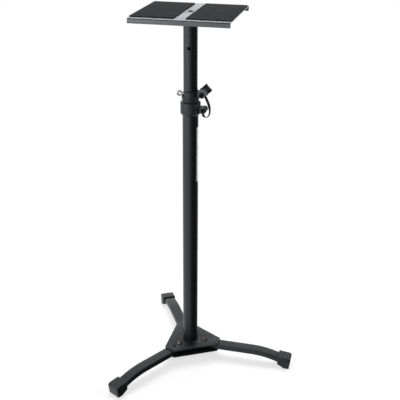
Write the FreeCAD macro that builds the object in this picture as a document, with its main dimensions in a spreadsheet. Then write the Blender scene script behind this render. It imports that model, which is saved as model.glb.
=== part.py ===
"""Speaker stand: a platform on a telescopic pole over a three-legged base.

Millimetres, +Z up. The origin is on the floor, on the axis of the pole. The front of
the platform faces -Y, and the right leg points to the +X side.
"""
import FreeCAD, Part
import Sketcher
import math
import os

doc = FreeCAD.newDocument("speaker_stand")

# Driving dimensions
SIZES = {
    # hub and legs
    "hub_top": 46.5,            # upper face of the hub above the floor
    "hub_plate": 3.0,           # thickness of each hub plate
    "base_turn": -1.1,          # degrees that the base stands turned under the platform
    "hub_side": 56.0,           # pole axis to a long side of the hub
    "hub_corner": 82.7,         # pole axis to a cut-off corner of the hub
    "leg_width": 30.0,
    "leg_height": 15.0,
    "leg_wall": 1.5,
    "leg_play": 0.2,            # running gap between a leg and a hub plate
    "pivot_radius": 41.5,       # pole axis to a pivot bolt
    "leg_root": 12.0,           # pivot bolt to the inner end of a leg
    "leg_straight": 136.5,      # pivot bolt to the start of the bend
    "leg_bend": 220.0,          # bend radius on the centre line of a leg
    "leg_tip_height": 16.0,     # centre of the leg's end above the floor
    "foot_grip": 17.0,          # length of leg end that the foot covers
    "foot_nose": 19.75,         # leg end to the toe of the foot
    "foot_wall": 4.0,           # rubber around the leg
    "foot_fit": 0.15,
    "foot_sole": 13.5,
    "foot_lean": 4.4,           # how far the toe overhangs the sole
    "foot_toe_rise": 14.85,     # top of the toe above the leg's end
    "foot_toe_cut": 5.0,        # slope that takes off the toe's upper edge
    "foot_round": 2.5,
    "leg_bore_past": 1.0,       # degrees that the leg's bore runs past its end
    "foot_socket_past": 0.1,    # degrees that the foot's socket runs past the leg's end
    # fasteners of the hub
    "pivot_bolt": 8.0,
    "pivot_head": 15.0,
    "pivot_head_rise": 4.0,
    "pivot_nut_flats": 13.0,
    "pivot_nut_height": 8.0,
    "washer_outer": 19.0,
    "washer_thick": 1.2,
    "sleeve_outer": 14.0,
    "bolt_play": 0.2,           # radial gap round bolts
    "detent_radius": 62.5,      # pole axis to a leg detent
    "detent_head": 10.0,
    "detent_rise": 2.2,
    "detent_body": 7.0,
    # pole
    "lower_outer": 40.0,
    "upper_outer": 35.0,
    "tube_wall": 1.5,
    "lower_top": 735.0,         # upper end of the lower tube
    "upper_length": 730.0,
    "slide_gap": 0.3,           # radial gap of the sliding pole
    "plug_fit": 0.1,
    "overrun": 1.0,             # how far a bore is drawn past the face it opens in
    "base_plug_length": 26.0,
    "base_bolt": 10.0,
    "base_bolt_flats": 17.0,
    "base_bolt_head": 6.5,
    "base_washer_outer": 34.0,
    "base_washer_thick": 2.0,
    "bush_head": 8.0,
    "bush_spigot": 20.0,
    "bush_bore": 24.0,
    "pin_hole": 8.6,
    "hole_pitch": 116.0,
    # platform
    "platform_top": 958.5,      # upper face of the plate
    "plate_width": 240.0,
    "plate_depth": 240.0,
    "plate_sheet": 2.0,
    "lip_height": 12.8,
    "lip_return": 7.0,
    "lip_round": 4.0,
    "lip_nose": 0.6,            # edge of the plate above the groove of the lip
    "lip_groove": 1.4,          # height of the groove along the lip
    "lip_groove_depth": 1.8,
    "mat_thick": 3.0,
    "mat_width": 106.0,
    "mat_depth": 212.0,
    "mat_strip": 27.5,          # bare strip between the mats
    "mat_corner": 3.0,
    "top_plug_length": 24.0,
    "plate_bolt": 10.0,
    "plate_bolt_head": 16.0,
    "plate_bolt_rise": 2.2,
    # clamp collar, heights measured from the end of the lower tube
    "rim_rise": 29.0,
    "rim_wall": 4.2,
    "rim_depth": 18.5,
    "neck_wall": 3.5,
    "neck_groove": 1.2,         # depth of the grooves above and below the neck
    "wiper_wall": 1.9,
    "wiper_rise": 2.5,
    "collar_step": 1.5,
    "ring_wall": 5.45,
    "ring_drop": 26.0,
    "ring_taper": 4.5,
    "slit": 3.0,
    "window_edge": 9.0,         # pole axis to the cut-away of the rim
    "clamp_reach": 13.5,        # upper tube surface to the clamp bolt
    "clamp_rise": 24.0,
    "clamp_boss": 17.0,
    "clamp_half": 15.0,         # half the length of the clamp boss
    "clamp_web": 13.0,          # height of the web behind the boss
    "clamp_bolt": 8.0,
    "clamp_head": 11.0,
    "clamp_head_rise": 4.0,
    "screw_reach": 15.0,        # lower tube surface to the collar screw
    "screw_drop": 16.0,
    "screw_boss": 15.0,
    "screw_half": 11.0,
    "screw_web": 14.0,
    "screw_thread": 6.0,
    "screw_head": 11.0,
    "screw_head_rise": 4.0,
    "screw_nut_flats": 10.0,
    "screw_nut_height": 5.0,
    # knob on the clamp bolt
    "knob_washer_outer": 20.0,
    "knob_washer_thick": 2.0,
    "knob_neck": 17.0,
    "knob_neck_length": 12.0,
    "knob_corner": 16.5,
    "knob_waist": 11.0,
    "knob_head": 12.0,
    "knob_round": 2.0,
    "knob_turned": 2.0,         # degrees from corner-up
    "insert_outer": 12.0,
    "insert_length": 16.0,
    # locking pin
    "pin_rise": 22.0,           # pin axis above the lower tube
    "pin_diameter": 8.0,
    "pin_seat": 0.3,
    "eye_outer": 14.0,
    "eye_hole": 6.5,
    "eye_thick": 5.0,
    "eye_gap": 5.9,             # rim to the centre of the eye
    # tether strap
    "strap_section": 4.0,
    "eyelet_wall": 2.6,
    "eyelet_thick": 2.2,
    "eyelet_place": 21.0,       # distance of the eyelet behind the pole axis
    "tab_thick": 2.2,
    "tab_width": 9.0,
    # blank sticker on the lower tube
    "label_drop": 31.5,         # lower edge of the collar to the sticker
    "label_height": 146.0,
    "label_arc": 48.0,
    "label_thick": 0.25,
}

# Route of the tether strap, from the eyelet on the knob's neck to the tab at the collar screw
STRAP_BEND_SHARE = 0.45         # share of each straight run that a bend at its end may use
STRAP_ROUTE = [
    (32.5, 21.0, 747.2),
    (36.5, 20.5, 739.0),
    (42.5, 17.5, 728.5),
    (46.5, 13.5, 716.0),
    (47.0, 9.0, 704.5),
    (41.5, 4.5, 697.0),
    (34.5, 1.5, 699.0),
    (31.5, 0.0, 706.5),
]

sheet = doc.addObject("Spreadsheet::Sheet", "Sizes")
for row, (alias, value) in enumerate(SIZES.items(), 1):
    sheet.set(f"A{row}", alias)
    sheet.set(f"B{row}", str(value))
    sheet.setAlias(f"B{row}", alias)
doc.recompute()

SUBPARTS = []

# Heights and radii that several pieces share, as expressions on the sheet
LEG_TOP = "(Sizes.hub_top - Sizes.hub_plate - Sizes.leg_play)"
LEG_BOTTOM = f"({LEG_TOP} - Sizes.leg_height)"
LEG_MIDDLE = f"({LEG_TOP} - Sizes.leg_height / 2)"
HUB_UNDER_TOP = "(Sizes.hub_top - Sizes.hub_plate)"
HUB_FLOOR = f"({LEG_BOTTOM} - Sizes.leg_play)"
HUB_BASE = f"({HUB_FLOOR} - Sizes.hub_plate)"
BEND_START = "(Sizes.pivot_radius + Sizes.leg_straight)"
BEND_CENTRE = f"({LEG_MIDDLE} - Sizes.leg_bend)"
BEND_ANGLE = f"(acos(1 - ({LEG_MIDDLE} - Sizes.leg_tip_height) / Sizes.leg_bend))"
LEG_TIP = f"({BEND_START} + Sizes.leg_bend * sin{BEND_ANGLE})"
LOWER_RADIUS = "(Sizes.lower_outer / 2)"
LOWER_BORE = "(Sizes.lower_outer / 2 - Sizes.tube_wall)"
UPPER_RADIUS = "(Sizes.upper_outer / 2)"
UPPER_BORE = "(Sizes.upper_outer / 2 - Sizes.tube_wall)"
PLATE_UNDER = "(Sizes.platform_top - Sizes.plate_sheet)"
UPPER_END = f"({PLATE_UNDER} - Sizes.upper_length)"
COLLAR_BORE = f"({UPPER_RADIUS} + Sizes.slide_gap)"
RIM_RADIUS = f"({COLLAR_BORE} + Sizes.rim_wall)"
RIM_TOP = "(Sizes.lower_top + Sizes.rim_rise)"
RIM_END = f"({RIM_TOP} - Sizes.rim_depth)"
NECK_RADIUS = f"({COLLAR_BORE} + Sizes.neck_wall)"
GROOVE_RADIUS = f"({NECK_RADIUS} - Sizes.neck_groove)"
COLLAR_END = "(Sizes.lower_top - Sizes.ring_drop - Sizes.ring_taper)"
CLAMP_X = f"({UPPER_RADIUS} + Sizes.clamp_reach)"
CLAMP_Z = "(Sizes.lower_top + Sizes.clamp_rise)"
SCREW_X = f"({LOWER_RADIUS} + Sizes.screw_reach)"
SCREW_Z = "(Sizes.lower_top - Sizes.screw_drop)"
PIN_Z = "(Sizes.lower_top + Sizes.pin_rise)"
KNOB_SEAT = "(Sizes.clamp_half + Sizes.knob_washer_thick)"

BASE_TURN = SIZES["base_turn"]
LEG_ANGLES = {"right": BASE_TURN, "rear_left": BASE_TURN + 120, "front_left": BASE_TURN + 240}
FOLDING_LEGS = ("rear_left", "front_left")
AXIS_TURN = {
    "x": FreeCAD.Rotation(FreeCAD.Vector(0, 1, 0), 90),
    "y": FreeCAD.Rotation(FreeCAD.Vector(1, 0, 0), -90),
    "z": FreeCAD.Rotation(),
}
# Turns a cylinder so that its axis lies along +Y and its sector opens from +Z towards +X
BEND_TURN = FreeCAD.Rotation(FreeCAD.Vector(1, 1, 1), 240)


def bind(obj, **formulas):
    """Bind properties to formulas on the sheet; a double underscore stands for a dot."""
    for name, formula in formulas.items():
        obj.setExpression(name.replace("__", "."), formula)
    return obj


def place(obj, x="0", y="0", z="0"):
    return bind(obj, Placement__Base__x=x, Placement__Base__y=y, Placement__Base__z=z)


def box(name, x, y, z):
    """A block between two formulas along each axis."""
    obj = doc.addObject("Part::Box", name)
    sides = {"Length": x, "Width": y, "Height": z}
    bind(obj, **{side: f"({high}) - ({low})" for side, (low, high) in sides.items()})
    return place(obj, x[0], y[0], z[0])


def rod(name, radius, start, end, axis="z", x="0", y="0", z="0"):
    """A round bar along one axis, from start to end."""
    obj = doc.addObject("Part::Cylinder", name)
    bind(obj, Radius=radius, Height=f"({end}) - ({start})")
    obj.Placement = FreeCAD.Placement(FreeCAD.Vector(), AXIS_TURN[axis])
    centre = {"x": x, "y": y, "z": z}
    centre[axis] = start
    return place(obj, **centre)


def hexagon(name, flats, start, end, axis="z", x="0", y="0", z="0"):
    """A hexagonal bar along one axis, from start to end."""
    obj = doc.addObject("Part::Prism", name)
    obj.Polygon = 6
    bind(obj, Circumradius=f"({flats}) / 2 / cos(30)", Height=f"({end}) - ({start})")
    obj.Placement = FreeCAD.Placement(FreeCAD.Vector(), AXIS_TURN[axis])
    centre = {"x": x, "y": y, "z": z}
    centre[axis] = start
    return place(obj, **centre)


def fuse(name, *shapes):
    obj = doc.addObject("Part::MultiFuse", name)
    obj.Shapes = list(shapes)
    return obj


def cut(name, base, *tools):
    obj = doc.addObject("Part::Cut", name)
    obj.Base = base
    obj.Tool = tools[0] if len(tools) == 1 else fuse(f"{name}_tools", *tools)
    return obj


def common(name, one, other):
    obj = doc.addObject("Part::Common", name)
    obj.Base = one
    obj.Tool = other
    return obj


def group(name, solids):
    obj = doc.addObject("Part::Compound", name)
    obj.Links = solids
    return obj


def turn(obj, angle):
    """Turn a piece about the pole axis."""
    obj.Placement = FreeCAD.Placement(FreeCAD.Vector(), FreeCAD.Rotation(FreeCAD.Vector(0, 0, 1), angle))
    return obj


def turned_copy(name, shape, angle):
    """A shape drawn on the +X side, turned about the pole axis to its own leg."""
    return turn(group(name, [shape]), angle)


def subpart(obj, label):
    obj.Label = label
    SUBPARTS.append(obj)
    return obj


def dome(name, width, rise, seat, x="0", y="0"):
    """A low round head: the cap of a ball, cut off at its seat."""
    ball_radius = f"((({width}) / 2)^2 + ({rise})^2) / (2 * ({rise}))"
    ball = bind(doc.addObject("Part::Sphere", f"{name}_ball"), Radius=ball_radius)
    place(ball, x, y, f"({seat}) + ({rise}) - {ball_radius}")
    blank = rod(f"{name}_blank", f"({width}) / 2", seat, f"({seat}) + 2 * ({rise})", x=x, y=y)
    return common(name, ball, blank)


def outline_body(name, plane, corners):
    """A body with one closed sketch, whose corners are pairs of formulas."""
    body = doc.addObject("PartDesign::Body", name)
    sketch = body.newObject("Sketcher::SketchObject", f"{name}_outline")
    support = [item for item in body.Origin.OriginFeatures if item.Role == plane][0]
    sketch.AttachmentSupport = [(support, "")]
    sketch.MapMode = "FlatFace"
    count = len(corners)
    around = [2 * math.pi * index / count for index in range(count)]
    rough = [FreeCAD.Vector(10 * math.cos(angle), 10 * math.sin(angle), 0) for angle in around]
    for index in range(count):
        sketch.addGeometry(Part.LineSegment(rough[index], rough[(index + 1) % count]), False)
    for index in range(count):
        sketch.addConstraint(Sketcher.Constraint("Coincident", index, 2, (index + 1) % count, 1))
    for index, corner in enumerate(corners):
        for kind, formula in zip(("DistanceX", "DistanceY"), corner):
            number = sketch.addConstraint(Sketcher.Constraint(kind, -1, 1, index, 1, 1.0))
            sketch.setExpression(f"Constraints[{number}]", formula)
    return body, sketch


def padded_body(name, plane, corners, thickness):
    """An outline padded to both sides of its plane."""
    body, sketch = outline_body(name, plane, corners)
    pad = body.newObject("PartDesign::Pad", f"{name}_pad")
    pad.Profile = sketch
    pad.Midplane = True
    pad.setExpression("Length", thickness)
    doc.recompute()
    return body, pad


def turned_body(name, corners):
    """An outline in the XZ plane turned about the Z axis."""
    body, sketch = outline_body(name, "XZ_Plane", corners)
    revolution = body.newObject("PartDesign::Revolution", f"{name}_turned")
    revolution.Profile = sketch
    revolution.ReferenceAxis = (sketch, ["V_Axis"])
    revolution.Angle = 360
    return body


def round_edges(body, feature, radius, chosen):
    """Fillet the edges of the last feature that the test picks."""
    edges = [f"Edge{number}" for number, edge in enumerate(feature.Shape.Edges, 1) if chosen(edge)]
    fillet = body.newObject("PartDesign::Fillet", f"{feature.Name}_round")
    fillet.Base = (feature, edges)
    fillet.setExpression("Radius", radius)
    doc.recompute()
    return fillet


def edge_runs_along(edge, axis):
    return edge.Curve.TypeId == "Part::GeomLine" and abs(abs(edge.Curve.Direction.dot(axis)) - 1) < 1e-6


X_AXIS = FreeCAD.Vector(1, 0, 0)
Y_AXIS = FreeCAD.Vector(0, 1, 0)
Z_AXIS = FreeCAD.Vector(0, 0, 1)


# Hub: two triangular plates with cut-off corners, one above and one below the legs
def hub_blank(name, low, high):
    height = f"({high}) - ({low})"
    triangle = bind(doc.addObject("Part::Prism", f"{name}_triangle"), Height=height)
    triangle.Polygon = 3
    bind(triangle, Circumradius="2 * Sizes.hub_side")
    turn(triangle, BASE_TURN)
    place(triangle, z=low)
    corners = bind(doc.addObject("Part::Prism", f"{name}_corners"), Height=height)
    corners.Polygon = 3
    bind(corners, Circumradius="2 * Sizes.hub_corner")
    turn(corners, BASE_TURN + 180)
    place(corners, z=low)
    return common(f"{name}_blank", triangle, corners)


def hub_holes(name, radius, diameter, legs, low, high):
    holes = []
    for leg in legs:
        hole = rod(f"{name}_{leg}", f"{diameter} / 2 + Sizes.bolt_play", low, high, x=radius)
        holes.append(turned_copy(f"{name}_{leg}_turned", hole, LEG_ANGLES[leg]))
    return holes


top_pivots = hub_holes("top_pivot_hole", "Sizes.pivot_radius", "Sizes.pivot_bolt", LEG_ANGLES,
                       f"{HUB_UNDER_TOP} - Sizes.overrun", "Sizes.hub_top + Sizes.overrun")
detent_holes = hub_holes("detent_hole", "Sizes.detent_radius", "Sizes.detent_body", FOLDING_LEGS,
                         f"{HUB_UNDER_TOP} - Sizes.overrun", "Sizes.hub_top + Sizes.overrun")
tube_hole = rod("hub_tube_hole", f"{LOWER_RADIUS} + Sizes.plug_fit",
                f"{HUB_UNDER_TOP} - Sizes.overrun", "Sizes.hub_top + Sizes.overrun")
subpart(cut("hub_top", hub_blank("hub_top", HUB_UNDER_TOP, "Sizes.hub_top"),
            tube_hole, *top_pivots, *detent_holes), "hub_top_plate")

base_pivots = hub_holes("base_pivot_hole", "Sizes.pivot_radius", "Sizes.pivot_bolt", LEG_ANGLES,
                        f"{HUB_BASE} - Sizes.overrun", f"{HUB_FLOOR} + Sizes.overrun")
base_bolt_hole = rod("hub_base_bolt_hole", "Sizes.base_bolt / 2 + Sizes.bolt_play",
                     f"{HUB_BASE} - Sizes.overrun", f"{HUB_FLOOR} + Sizes.overrun")
subpart(cut("hub_bottom", hub_blank("hub_bottom", HUB_BASE, HUB_FLOOR), base_bolt_hole, *base_pivots),
        "hub_bottom_plate")


# Legs: rectangular tube, straight between the hub plates and bent down to the foot
def leg_bar(name, root, inset, past_end):
    """The leg's outside, or its inside when inset by the wall, along +X."""
    half = f"(Sizes.leg_width / 2 - ({inset}))"
    straight = box(f"{name}_straight", (root, BEND_START), (f"-{half}", half),
                   (f"{LEG_BOTTOM} + ({inset})", f"{LEG_TOP} - ({inset})"))
    rings = []
    for side, radius in (("far", f"Sizes.leg_bend + Sizes.leg_height / 2 - ({inset})"),
                         ("near", f"Sizes.leg_bend - Sizes.leg_height / 2 + ({inset})")):
        ring = doc.addObject("Part::Cylinder", f"{name}_{side}")
        bind(ring, Radius=radius, Height=f"2 * {half}", Angle=f"{BEND_ANGLE} + {past_end} * 1 deg")
        ring.Placement = FreeCAD.Placement(FreeCAD.Vector(), BEND_TURN)
        rings.append(place(ring, BEND_START, f"-{half}", BEND_CENTRE))
    return fuse(name, straight, cut(f"{name}_bend", *rings))


def make_leg(leg):
    """One leg. The right leg is coped round the pole, the others clear it when they fold."""
    if leg in FOLDING_LEGS:
        root = "Sizes.pivot_radius - Sizes.leg_root"
        cope = []
    else:
        root = "0"
        cope = [rod(f"cope_{leg}", f"{LOWER_RADIUS} + Sizes.plug_fit",
                    f"{LEG_BOTTOM} - Sizes.overrun", f"{LEG_TOP} + Sizes.overrun")]
    outside = leg_bar(f"leg_outside_{leg}", root, "0", "0")
    inside = leg_bar(f"leg_inside_{leg}", f"{root} - Sizes.overrun", "Sizes.leg_wall",
                     "Sizes.leg_bore_past")
    hole = rod(f"leg_hole_{leg}", "Sizes.pivot_bolt / 2 + Sizes.bolt_play",
               f"{LEG_BOTTOM} - Sizes.overrun", f"{LEG_TOP} + Sizes.overrun", x="Sizes.pivot_radius")
    return turn(cut(f"leg_{leg}", outside, inside, hole, *cope), LEG_ANGLES[leg])


# Feet: rubber caps with a flat sole, pushed over the leg ends
FOOT_HEEL = f"({LEG_TIP} - Sizes.foot_grip)"
FOOT_TOE = f"({LEG_TIP} + Sizes.foot_nose)"


def leg_face_height(offset):
    """Height of the leg's upper or lower face at the heel of the foot."""
    radius = f"(Sizes.leg_bend + ({offset}))"
    return f"({BEND_CENTRE} + sqrt({radius}^2 - ({FOOT_HEEL} - {BEND_START})^2))"


TOE_TOP = "(Sizes.leg_tip_height + Sizes.foot_toe_rise)"
HEEL_TOP = f"({leg_face_height('Sizes.leg_height / 2')} + Sizes.foot_wall)"
FOOT_OUTLINE = [
    (FOOT_HEEL, f"{leg_face_height('-Sizes.leg_height / 2')} - Sizes.foot_wall"),
    (f"{FOOT_TOE} - Sizes.foot_lean - Sizes.foot_sole", "0"),
    (f"{FOOT_TOE} - Sizes.foot_lean", "0"),
    (f"{FOOT_TOE} - Sizes.foot_lean * Sizes.foot_toe_cut / {TOE_TOP}", f"{TOE_TOP} - Sizes.foot_toe_cut"),
    (f"{FOOT_TOE} - Sizes.foot_toe_cut",
     f"{TOE_TOP} + ({HEEL_TOP} - {TOE_TOP}) * Sizes.foot_toe_cut / (Sizes.foot_grip + Sizes.foot_nose)"),
    (FOOT_HEEL, HEEL_TOP),
]


def make_foot(leg):
    foot_width = "Sizes.leg_width + 2 * Sizes.foot_wall"
    body, pad = padded_body(f"foot_{leg}_block", "XZ_Plane", FOOT_OUTLINE, foot_width)
    round_edges(body, pad, "Sizes.foot_round", lambda edge: True)
    socket = leg_bar(f"socket_{leg}", "Sizes.pivot_radius", "-Sizes.foot_fit", "Sizes.foot_socket_past")
    return turn(cut(f"foot_{leg}", body, socket), LEG_ANGLES[leg])


for leg_name in LEG_ANGLES:
    subpart(make_leg(leg_name), f"leg_{leg_name}")
    subpart(make_foot(leg_name), f"foot_{leg_name}")


# Pivot bolts of the legs, with washers, sleeves inside the legs, and lock nuts under the hub
HEAD_SEAT = "(Sizes.hub_top + Sizes.washer_thick)"
NUT_SEAT = f"({HUB_BASE} - Sizes.washer_thick)"
NUT_END = f"({NUT_SEAT} - Sizes.pivot_nut_height)"
bolts, nuts, washers, sleeves, detents = [], [], [], [], []
for leg_name, leg_angle in LEG_ANGLES.items():
    at_pivot = {"x": "Sizes.pivot_radius"}
    bolt_hole = "Sizes.pivot_bolt / 2 + Sizes.bolt_play"
    head = dome(f"pivot_head_{leg_name}", "Sizes.pivot_head", "Sizes.pivot_head_rise", HEAD_SEAT,
                **at_pivot)
    shank = rod(f"pivot_shank_{leg_name}", "Sizes.pivot_bolt / 2", f"{NUT_END} - Sizes.washer_thick",
                f"{HEAD_SEAT} + Sizes.washer_thick", **at_pivot)
    bolts.append(turn(fuse(f"pivot_bolt_{leg_name}", head, shank), leg_angle))
    nut = hexagon(f"pivot_nut_body_{leg_name}", "Sizes.pivot_nut_flats", NUT_END, NUT_SEAT, **at_pivot)
    nut_bore = rod(f"pivot_nut_bore_{leg_name}", "Sizes.pivot_bolt / 2 + Sizes.plug_fit",
                   f"{NUT_END} - Sizes.overrun", f"{NUT_SEAT} + Sizes.overrun", **at_pivot)
    nuts.append(turn(cut(f"pivot_nut_{leg_name}", nut, nut_bore), leg_angle))
    for level, low, high in (("upper", "Sizes.hub_top", HEAD_SEAT), ("lower", NUT_SEAT, HUB_BASE)):
        disc = rod(f"{level}_disc_{leg_name}", "Sizes.washer_outer / 2", low, high, **at_pivot)
        eye = rod(f"{level}_eye_{leg_name}", bolt_hole,
                  f"{low} - Sizes.overrun", f"{high} + Sizes.overrun", **at_pivot)
        washers.append(turn(cut(f"{level}_washer_{leg_name}", disc, eye), leg_angle))
    sleeve_low = f"({LEG_BOTTOM} + Sizes.leg_wall + Sizes.plug_fit)"
    sleeve_high = f"({LEG_TOP} - Sizes.leg_wall - Sizes.plug_fit)"
    sleeve = rod(f"sleeve_outside_{leg_name}", "Sizes.sleeve_outer / 2", sleeve_low, sleeve_high,
                 **at_pivot)
    sleeve_bore = rod(f"sleeve_bore_{leg_name}", bolt_hole,
                      f"{sleeve_low} - Sizes.overrun", f"{sleeve_high} + Sizes.overrun", **at_pivot)
    sleeves.append(turn(cut(f"sleeve_{leg_name}", sleeve, sleeve_bore), leg_angle))
    if leg_name in FOLDING_LEGS:
        cap = dome(f"detent_cap_{leg_name}", "Sizes.detent_head", "Sizes.detent_rise", "Sizes.hub_top",
                   x="Sizes.detent_radius")
        plunger = rod(f"detent_body_{leg_name}", "Sizes.detent_body / 2", HUB_UNDER_TOP,
                      "Sizes.hub_top + Sizes.plug_fit", x="Sizes.detent_radius")
        detents.append(turn(fuse(f"detent_{leg_name}", cap, plunger), leg_angle))
subpart(group("pivot_bolt_set", bolts), "leg_pivot_bolts")
subpart(group("pivot_nut_set", nuts), "leg_pivot_nuts")
subpart(group("washer_set", washers), "hub_washers")
subpart(group("sleeve_set", sleeves), "leg_pivot_sleeves")
subpart(group("detent_set", detents), "leg_detents")


# Lower tube, standing on the lower hub plate and held by a plug and one bolt from below
def tube(name, outer, bore, low, high):
    inside = rod(f"{name}_bore", bore, f"{low} - Sizes.overrun", f"{high} + Sizes.overrun")
    return cut(name, rod(f"{name}_outside", outer, low, high), inside)


subpart(tube("lower", LOWER_RADIUS, LOWER_BORE, HUB_FLOOR, "Sizes.lower_top"), "lower_tube")
subpart(tube("base_plug", f"{LOWER_BORE} - Sizes.plug_fit", "Sizes.base_bolt / 2 + Sizes.plug_fit",
             HUB_FLOOR, f"{HUB_FLOOR} + Sizes.base_plug_length"), "tube_base_plug")
BASE_HEAD = f"({HUB_BASE} - Sizes.base_washer_thick)"
base_head = hexagon("base_head", "Sizes.base_bolt_flats", f"{BASE_HEAD} - Sizes.base_bolt_head", BASE_HEAD)
base_shank = rod("base_shank", "Sizes.base_bolt / 2", BASE_HEAD, f"{HUB_FLOOR} + Sizes.base_plug_length")
subpart(fuse("base_bolt", base_head, base_shank), "base_bolt")
subpart(tube("base_washer", "Sizes.base_washer_outer / 2", "Sizes.base_bolt / 2 + Sizes.bolt_play",
             BASE_HEAD, HUB_BASE), "base_washer")

LABEL_TOP = f"({COLLAR_END} - Sizes.label_drop)"
label_skin = rod("label_skin", f"{LOWER_RADIUS} + Sizes.label_thick",
                 f"{LABEL_TOP} - Sizes.label_height", LABEL_TOP)
label_skin.setExpression("Angle", "Sizes.label_arc * 1 deg")
label_back = rod("label_back", LOWER_RADIUS, f"{LABEL_TOP} - Sizes.label_height - Sizes.overrun",
                 f"{LABEL_TOP} + Sizes.overrun")
subpart(turn(cut("label", label_skin, label_back), -SIZES["label_arc"] / 2), "blank_label")


# Clamp collar: a split casting on the end of the lower tube
collar_turning = turned_body("collar_turning", [
    (COLLAR_BORE, RIM_TOP),
    (RIM_RADIUS, RIM_TOP),
    (RIM_RADIUS, RIM_END),
    (GROOVE_RADIUS, f"{RIM_END} - Sizes.collar_step"),
    (NECK_RADIUS, f"{RIM_END} - 2 * Sizes.collar_step"),
    (NECK_RADIUS, "Sizes.lower_top + 3 * Sizes.collar_step"),
    (GROOVE_RADIUS, "Sizes.lower_top + 2 * Sizes.collar_step"),
    (f"{LOWER_RADIUS} + Sizes.ring_wall", "Sizes.lower_top + Sizes.collar_step"),
    (f"{LOWER_RADIUS} + Sizes.ring_wall", "Sizes.lower_top - Sizes.ring_drop"),
    (f"{LOWER_RADIUS} + Sizes.plug_fit + Sizes.collar_step", COLLAR_END),
    (f"{LOWER_RADIUS} + Sizes.plug_fit", COLLAR_END),
    (f"{LOWER_RADIUS} + Sizes.plug_fit", "Sizes.lower_top"),
    (COLLAR_BORE, "Sizes.lower_top"),
])
clamp_boss = rod("clamp_boss", "Sizes.clamp_boss / 2", "-Sizes.clamp_half", "Sizes.clamp_half",
                 axis="y", x=CLAMP_X, z=CLAMP_Z)
clamp_web = box("clamp_web", (f"{COLLAR_BORE} + Sizes.rim_wall / 2", CLAMP_X),
                ("-Sizes.clamp_half + Sizes.collar_step", "Sizes.clamp_half - Sizes.collar_step"),
                (f"{CLAMP_Z} - Sizes.clamp_web / 2", f"{CLAMP_Z} + Sizes.clamp_web / 2"))
screw_boss = rod("screw_boss", "Sizes.screw_boss / 2", "-Sizes.screw_half", "Sizes.screw_half",
                 axis="y", x=SCREW_X, z=SCREW_Z)
screw_web = box("screw_web", (f"{LOWER_RADIUS} + Sizes.ring_wall / 2", SCREW_X),
                ("-Sizes.screw_half + Sizes.collar_step", "Sizes.screw_half - Sizes.collar_step"),
                (f"{SCREW_Z} - Sizes.screw_web / 2", f"{SCREW_Z} + Sizes.screw_web / 2"))
COLLAR_REACH = f"({CLAMP_X} + {SCREW_X})"
collar_slit = box("collar_slit", ("0", COLLAR_REACH), ("-Sizes.slit / 2", "Sizes.slit / 2"),
                  ("0", f"{RIM_TOP} + Sizes.clamp_boss"))
rim_window = box("rim_window", (f"-{COLLAR_REACH}", "-Sizes.window_edge"),
                 (f"-{COLLAR_REACH}", COLLAR_REACH),
                 (f"{PIN_Z} - Sizes.pin_diameter / 2 - Sizes.pin_seat", f"{RIM_TOP} + Sizes.overrun"))
clamp_hole = rod("clamp_hole", "Sizes.clamp_bolt / 2 + Sizes.bolt_play", f"-{COLLAR_REACH}", COLLAR_REACH,
                 axis="y", x=CLAMP_X, z=CLAMP_Z)
screw_hole = rod("screw_hole", "Sizes.screw_thread / 2 + Sizes.bolt_play", f"-{COLLAR_REACH}", COLLAR_REACH,
                 axis="y", x=SCREW_X, z=SCREW_Z)
collar_casting = fuse("collar_casting", collar_turning, clamp_boss, clamp_web, screw_boss, screw_web)
subpart(cut("collar", collar_casting, collar_slit, rim_window, clamp_hole, screw_hole), "clamp_collar")

# Wiper ring: a soft ring on the rim, open at the cut-away, that keeps dirt off the sliding pole
WIPER_TOP = f"({RIM_TOP} + Sizes.wiper_rise)"
wiper_round = tube("wiper_round", f"{COLLAR_BORE} + Sizes.wiper_wall", COLLAR_BORE, RIM_TOP, WIPER_TOP)
wiper_window = box("wiper_window", (f"-{COLLAR_REACH}", "-Sizes.window_edge"),
                   (f"-{COLLAR_REACH}", COLLAR_REACH),
                   (f"{RIM_TOP} - Sizes.overrun", f"{WIPER_TOP} + Sizes.overrun"))
subpart(cut("wiper", wiper_round, wiper_window), "wiper_ring")

# Screw and nut of the collar's lower ring
SCREW_AT = {"axis": "y", "x": SCREW_X, "z": SCREW_Z}
screw_head = rod("screw_head", "Sizes.screw_head / 2", "-Sizes.screw_half - Sizes.screw_head_rise",
                 "-Sizes.screw_half", **SCREW_AT)
screw_shank = rod("screw_shank", "Sizes.screw_thread / 2", "-Sizes.screw_half",
                  "Sizes.screw_half + Sizes.screw_nut_height + Sizes.collar_step", **SCREW_AT)
subpart(fuse("collar_screw", screw_head, screw_shank), "collar_screw")
screw_nut = hexagon("screw_nut", "Sizes.screw_nut_flats", "Sizes.screw_half",
                    "Sizes.screw_half + Sizes.screw_nut_height", **SCREW_AT)
screw_nut_bore = rod("screw_nut_bore", "Sizes.screw_thread / 2 + Sizes.plug_fit",
                     "Sizes.screw_half - Sizes.overrun",
                     "Sizes.screw_half + Sizes.screw_nut_height + Sizes.overrun", **SCREW_AT)
subpart(cut("collar_nut", screw_nut, screw_nut_bore), "collar_nut")

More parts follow.
